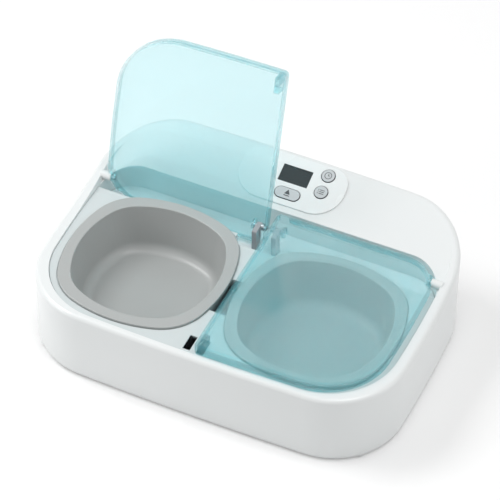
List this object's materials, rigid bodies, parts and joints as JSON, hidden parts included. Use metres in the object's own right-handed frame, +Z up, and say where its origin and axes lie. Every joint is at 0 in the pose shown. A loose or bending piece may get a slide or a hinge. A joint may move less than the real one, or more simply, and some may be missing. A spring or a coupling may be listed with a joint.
{
  "type": "automatic pet feeder",
  "caption": "Low battery-run pet feeder with lift-out bowls, tinted flip-up lids held by motor latches, and a sloping back with a control panel.",
  "frame": {"origin": "on the table under the middle of the body, at the bottom centre of its bounding box", "axes": "+X to the object's right seen from the front, +Y to the back where the control panel is, +Z up"},
  "size_m": [0.34, 0.238, 0.2286],
  "materials": {
    "body_white": "smooth, satin to glossy",
    "deck_grey": "smooth matt",
    "bowl_grey": "smooth matt",
    "lid_blue": "glossy, tinted and see-through",
    "button_grey": "fine matt",
    "display_glass": "glossy, dark tint",
    "display_grey": "blank display face",
    "board_green": "lacquered board",
    "part_black": "moulded, matt",
    "latch_grey": "smooth matt",
    "steel": "bright drawn steel",
    "motor_steel": "dull steel",
    "contact_metal": "nickel plate",
    "cell_jacket": "printed sleeve, bare",
    "foot_rubber": "matt"
  },
  "bodies": {
    "housing": {"outer_shell": "body_white", "back_left_foot": "foot_rubber", "back_right_foot": "foot_rubber", "base_screws": "steel", "battery_box": "body_white", "battery_cell_1": "cell_jacket", "battery_cell_2": "cell_jacket", "battery_cell_3": "cell_jacket", "battery_cell_4": "cell_jacket", "battery_contacts": "contact_metal", "board_screws": "steel", "bottom_cover": "body_white", "bracket_screws": "steel", "buzzer": "part_black", "circuit_board": "board_green", "clock_switch": "part_black", "control_panel": "body_white", "controller_chip": "part_black", "deck": "deck_grey", "display_module": "display_grey", "display_window": "display_glass", "front_left_foot": "foot_rubber", "front_right_foot": "foot_rubber", "hinge_channel": "deck_grey", "latch_bracket": "latch_grey", "left_hinge_post": "deck_grey", "left_latch_motor": "motor_steel", "left_lid_spring": "steel", "left_outer_hinge_pin": "steel", "menu_switch": "part_black", "open_switch": "part_black", "right_bowl": "bowl_grey", "right_hinge_post": "deck_grey", "right_latch_motor": "motor_steel", "right_lid_spring": "steel", "right_outer_hinge_pin": "steel"},
    "left_cover": {"left_lid": "lid_blue", "left_inner_hinge_pin": "steel"},
    "right_cover": {"right_lid": "lid_blue", "right_inner_hinge_pin": "steel"},
    "left_dish": {"left_bowl": "bowl_grey"},
    "left_bolt": {"left_latch_bolt": "latch_grey"},
    "right_bolt": {"right_latch_bolt": "latch_grey"},
    "left_screw": {"left_lead_screw": "steel"},
    "right_screw": {"right_lead_screw": "steel"},
    "open_key": {"open_button": "button_grey"},
    "clock_key": {"clock_button": "button_grey"},
    "menu_key": {"menu_button": "button_grey"},
    "door": {"battery_door": "body_white"}
  },
  "joints": [
    {"name": "left_lid_hinge", "type": "hinge", "parent": "housing", "child": "left_cover", "pos_m": [-0.0785, 0.0435, 0.0775], "axis": [-1, 0, 0], "range_deg": [-104, 0]},
    {"name": "right_lid_hinge", "type": "hinge", "parent": "housing", "child": "right_cover", "pos_m": [0.0785, 0.0435, 0.0775], "axis": [-1, 0, 0], "range_deg": [0, 104]},
    {"name": "left_bowl_lift", "type": "slide", "parent": "housing", "child": "left_dish", "axis": [0, 0, 1], "range_m": [0, 0.07]},
    {"name": "left_bolt_slide", "type": "slide", "parent": "housing", "child": "left_bolt", "axis": [0, -1, 0], "range_m": [0, 0.006]},
    {"name": "right_bolt_slide", "type": "slide", "parent": "housing", "child": "right_bolt", "axis": [0, -1, 0], "range_m": [0, 0.006]},
    {"name": "left_screw_turn", "type": "hinge", "parent": "housing", "child": "left_screw", "pos_m": [-0.0062, -0.0895, 0.052], "axis": [0, -1, 0], "range_deg": [0, 540]},
    {"name": "right_screw_turn", "type": "hinge", "parent": "housing", "child": "right_screw", "pos_m": [0.0062, -0.0895, 0.052], "axis": [0, -1, 0], "range_deg": [0, 540]},
    {"name": "open_button_press", "type": "slide", "parent": "housing", "child": "open_key", "axis": [0, 0.3502, -0.9367], "range_m": [0, 0.001], "stiffness_N_per_m": 250, "springref_m": -0.002},
    {"name": "clock_button_press", "type": "slide", "parent": "housing", "child": "clock_key", "axis": [0, 0.3502, -0.9367], "range_m": [0, 0.001], "stiffness_N_per_m": 250, "springref_m": -0.002},
    {"name": "menu_button_press", "type": "slide", "parent": "housing", "child": "menu_key", "axis": [0, 0.3502, -0.9367], "range_m": [0, 0.001], "stiffness_N_per_m": 250, "springref_m": -0.002},
    {"name": "battery_door_slide", "type": "slide", "parent": "housing", "child": "door", "axis": [0, 1, 0], "range_m": [0, 0.044]}
  ],
  "couplings": [
    {"joint": "left_screw_turn", "follows": "left_bolt_slide", "rad_per_m": 1570.8},
    {"joint": "right_screw_turn", "follows": "right_bolt_slide", "rad_per_m": 1570.8}
  ]
}
